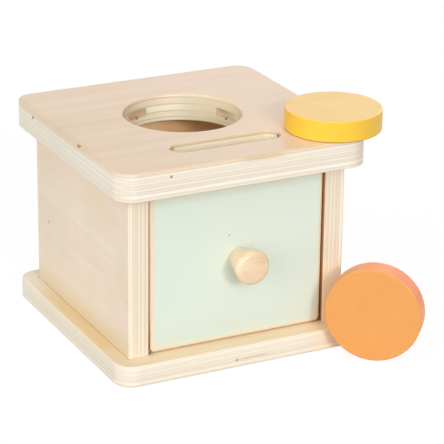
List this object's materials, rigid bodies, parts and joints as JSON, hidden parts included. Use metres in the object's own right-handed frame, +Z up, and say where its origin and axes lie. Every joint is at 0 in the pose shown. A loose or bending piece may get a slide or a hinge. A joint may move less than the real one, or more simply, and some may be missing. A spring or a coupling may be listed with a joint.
{
  "type": "object permanence box",
  "caption": "Wooden toy box with a ball hole and a disc slot in its top, a drawer with a knob that catches what drops in, and painted discs to post.",
  "frame": {"origin": "centre of the base board's underside", "axes": "+X to the right as one faces the drawer, +Y from the drawer towards the back wall, +Z up"},
  "size_m": [0.1666, 0.1891, 0.1325],
  "materials": {
    "birch_plywood": "satin",
    "turned_birch": "satin",
    "beech": "matte",
    "mint_paint_on_birch": "satin",
    "yellow_paint_on_beech": "satin",
    "orange_paint_on_beech": "satin",
    "zinc_plated_steel": "brushed"
  },
  "bodies": {
    "case": {"base_board": "birch_plywood", "left_wall": "birch_plywood", "right_wall": "birch_plywood", "back_wall": "birch_plywood", "top_board": "birch_plywood", "base_screws": "zinc_plated_steel", "top_dowels": "beech", "back_wall_dowels": "beech"},
    "drawer": {"drawer_front": "mint_paint_on_birch", "drawer_left_side": "birch_plywood", "drawer_right_side": "birch_plywood", "drawer_back": "birch_plywood", "drawer_bottom": "birch_plywood", "drawer_front_brads": "zinc_plated_steel", "drawer_back_brads": "zinc_plated_steel", "drawer_bottom_brads": "zinc_plated_steel", "drawer_knob": "turned_birch", "knob_screw": "zinc_plated_steel"},
    "lying_disc": {"yellow_disc": "yellow_paint_on_beech"},
    "standing_disc": {"orange_disc": "orange_paint_on_beech"}
  },
  "joints": [
    {"name": "drawer_slide", "type": "slide", "parent": "case", "child": "drawer", "axis": [0, -1, 0], "range_m": [0, 0.1]},
    {"name": "lying_disc_lift", "type": "slide", "parent": "case", "child": "lying_disc", "axis": [0, 0, 1], "range_m": [0, 0.06]},
    {"name": "standing_disc_lift", "type": "slide", "parent": "drawer", "child": "standing_disc", "axis": [0, 0, 1], "range_m": [0, 0.045]}
  ]
}
